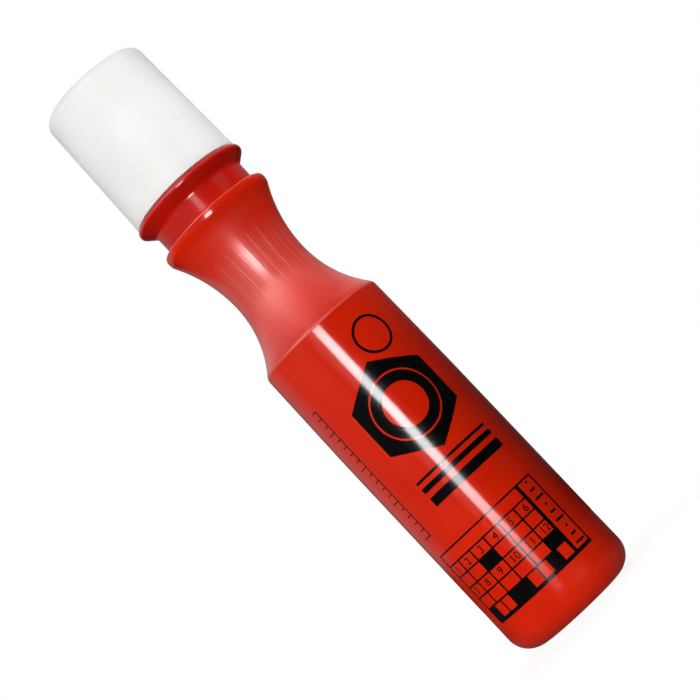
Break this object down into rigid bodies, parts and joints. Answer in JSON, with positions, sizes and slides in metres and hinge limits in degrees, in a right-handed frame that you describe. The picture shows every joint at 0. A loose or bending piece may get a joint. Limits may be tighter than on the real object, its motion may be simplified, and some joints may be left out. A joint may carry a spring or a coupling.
{
  "type": "industrial marker",
  "caption": "Squeeze-bottle paint marker with a waisted grip, a spring-valve felt nib under a smooth push-on cap, and loose balls inside that mix the paint.",
  "frame": {"origin": "centre of the base, on the plane that the marker stands on", "axes": "+Z along the marker's axis from the base to the cap, -Y towards the printed front"},
  "size_m": [0.032, 0.032, 0.1564],
  "materials": {
    "bottle_red": "glossy blow-moulded polyethylene",
    "plug_red": "glossy injection-moulded polyethylene",
    "cap_white": "satin white polypropylene",
    "nib_felt": "pressed felt",
    "natural_plastic": "natural polypropylene",
    "ferrule_metal": "satin turned",
    "seal_rubber": "matt",
    "spring_steel": "drawn wire",
    "ball_steel": "polished",
    "print_black": "screen-printed ink on the bottle"
  },
  "bodies": {
    "bottle_group": {"bottle": "bottle_red", "tip_plug": "plug_red", "valve_body": "natural_plastic", "nib_ferrule": "ferrule_metal", "spring_cage": "natural_plastic", "valve_spring": "spring_steel"},
    "nib_group": {"nib": "nib_felt", "nib_carrier": "natural_plastic", "valve_disc": "seal_rubber"},
    "cap_group": {"cap": "cap_white", "inner_cap": "natural_plastic"},
    "ball_1": {"mixing_ball_1": "ball_steel"},
    "ball_2": {"mixing_ball_2": "ball_steel"}
  },
  "joints": [
    {"name": "cap_pull", "type": "slide", "parent": "bottle_group", "child": "cap_group", "axis": [0, 0, 1], "range_m": [0, 0.045]},
    {"name": "nib_press", "type": "slide", "parent": "bottle_group", "child": "nib_group", "axis": [0, 0, -1], "range_m": [0, 0.002], "stiffness_N_per_m": 250, "springref_m": -0.006, "deforming": ["valve_spring"]},
    {"name": "ball_1_float", "type": "slide", "parent": "bottle_group", "child": "ball_1", "axis": [0, 0, 1], "range_m": [0, 0.075]},
    {"name": "ball_2_float", "type": "slide", "parent": "bottle_group", "child": "ball_2", "axis": [0, 0, 1], "range_m": [0, 0.075]}
  ]
}
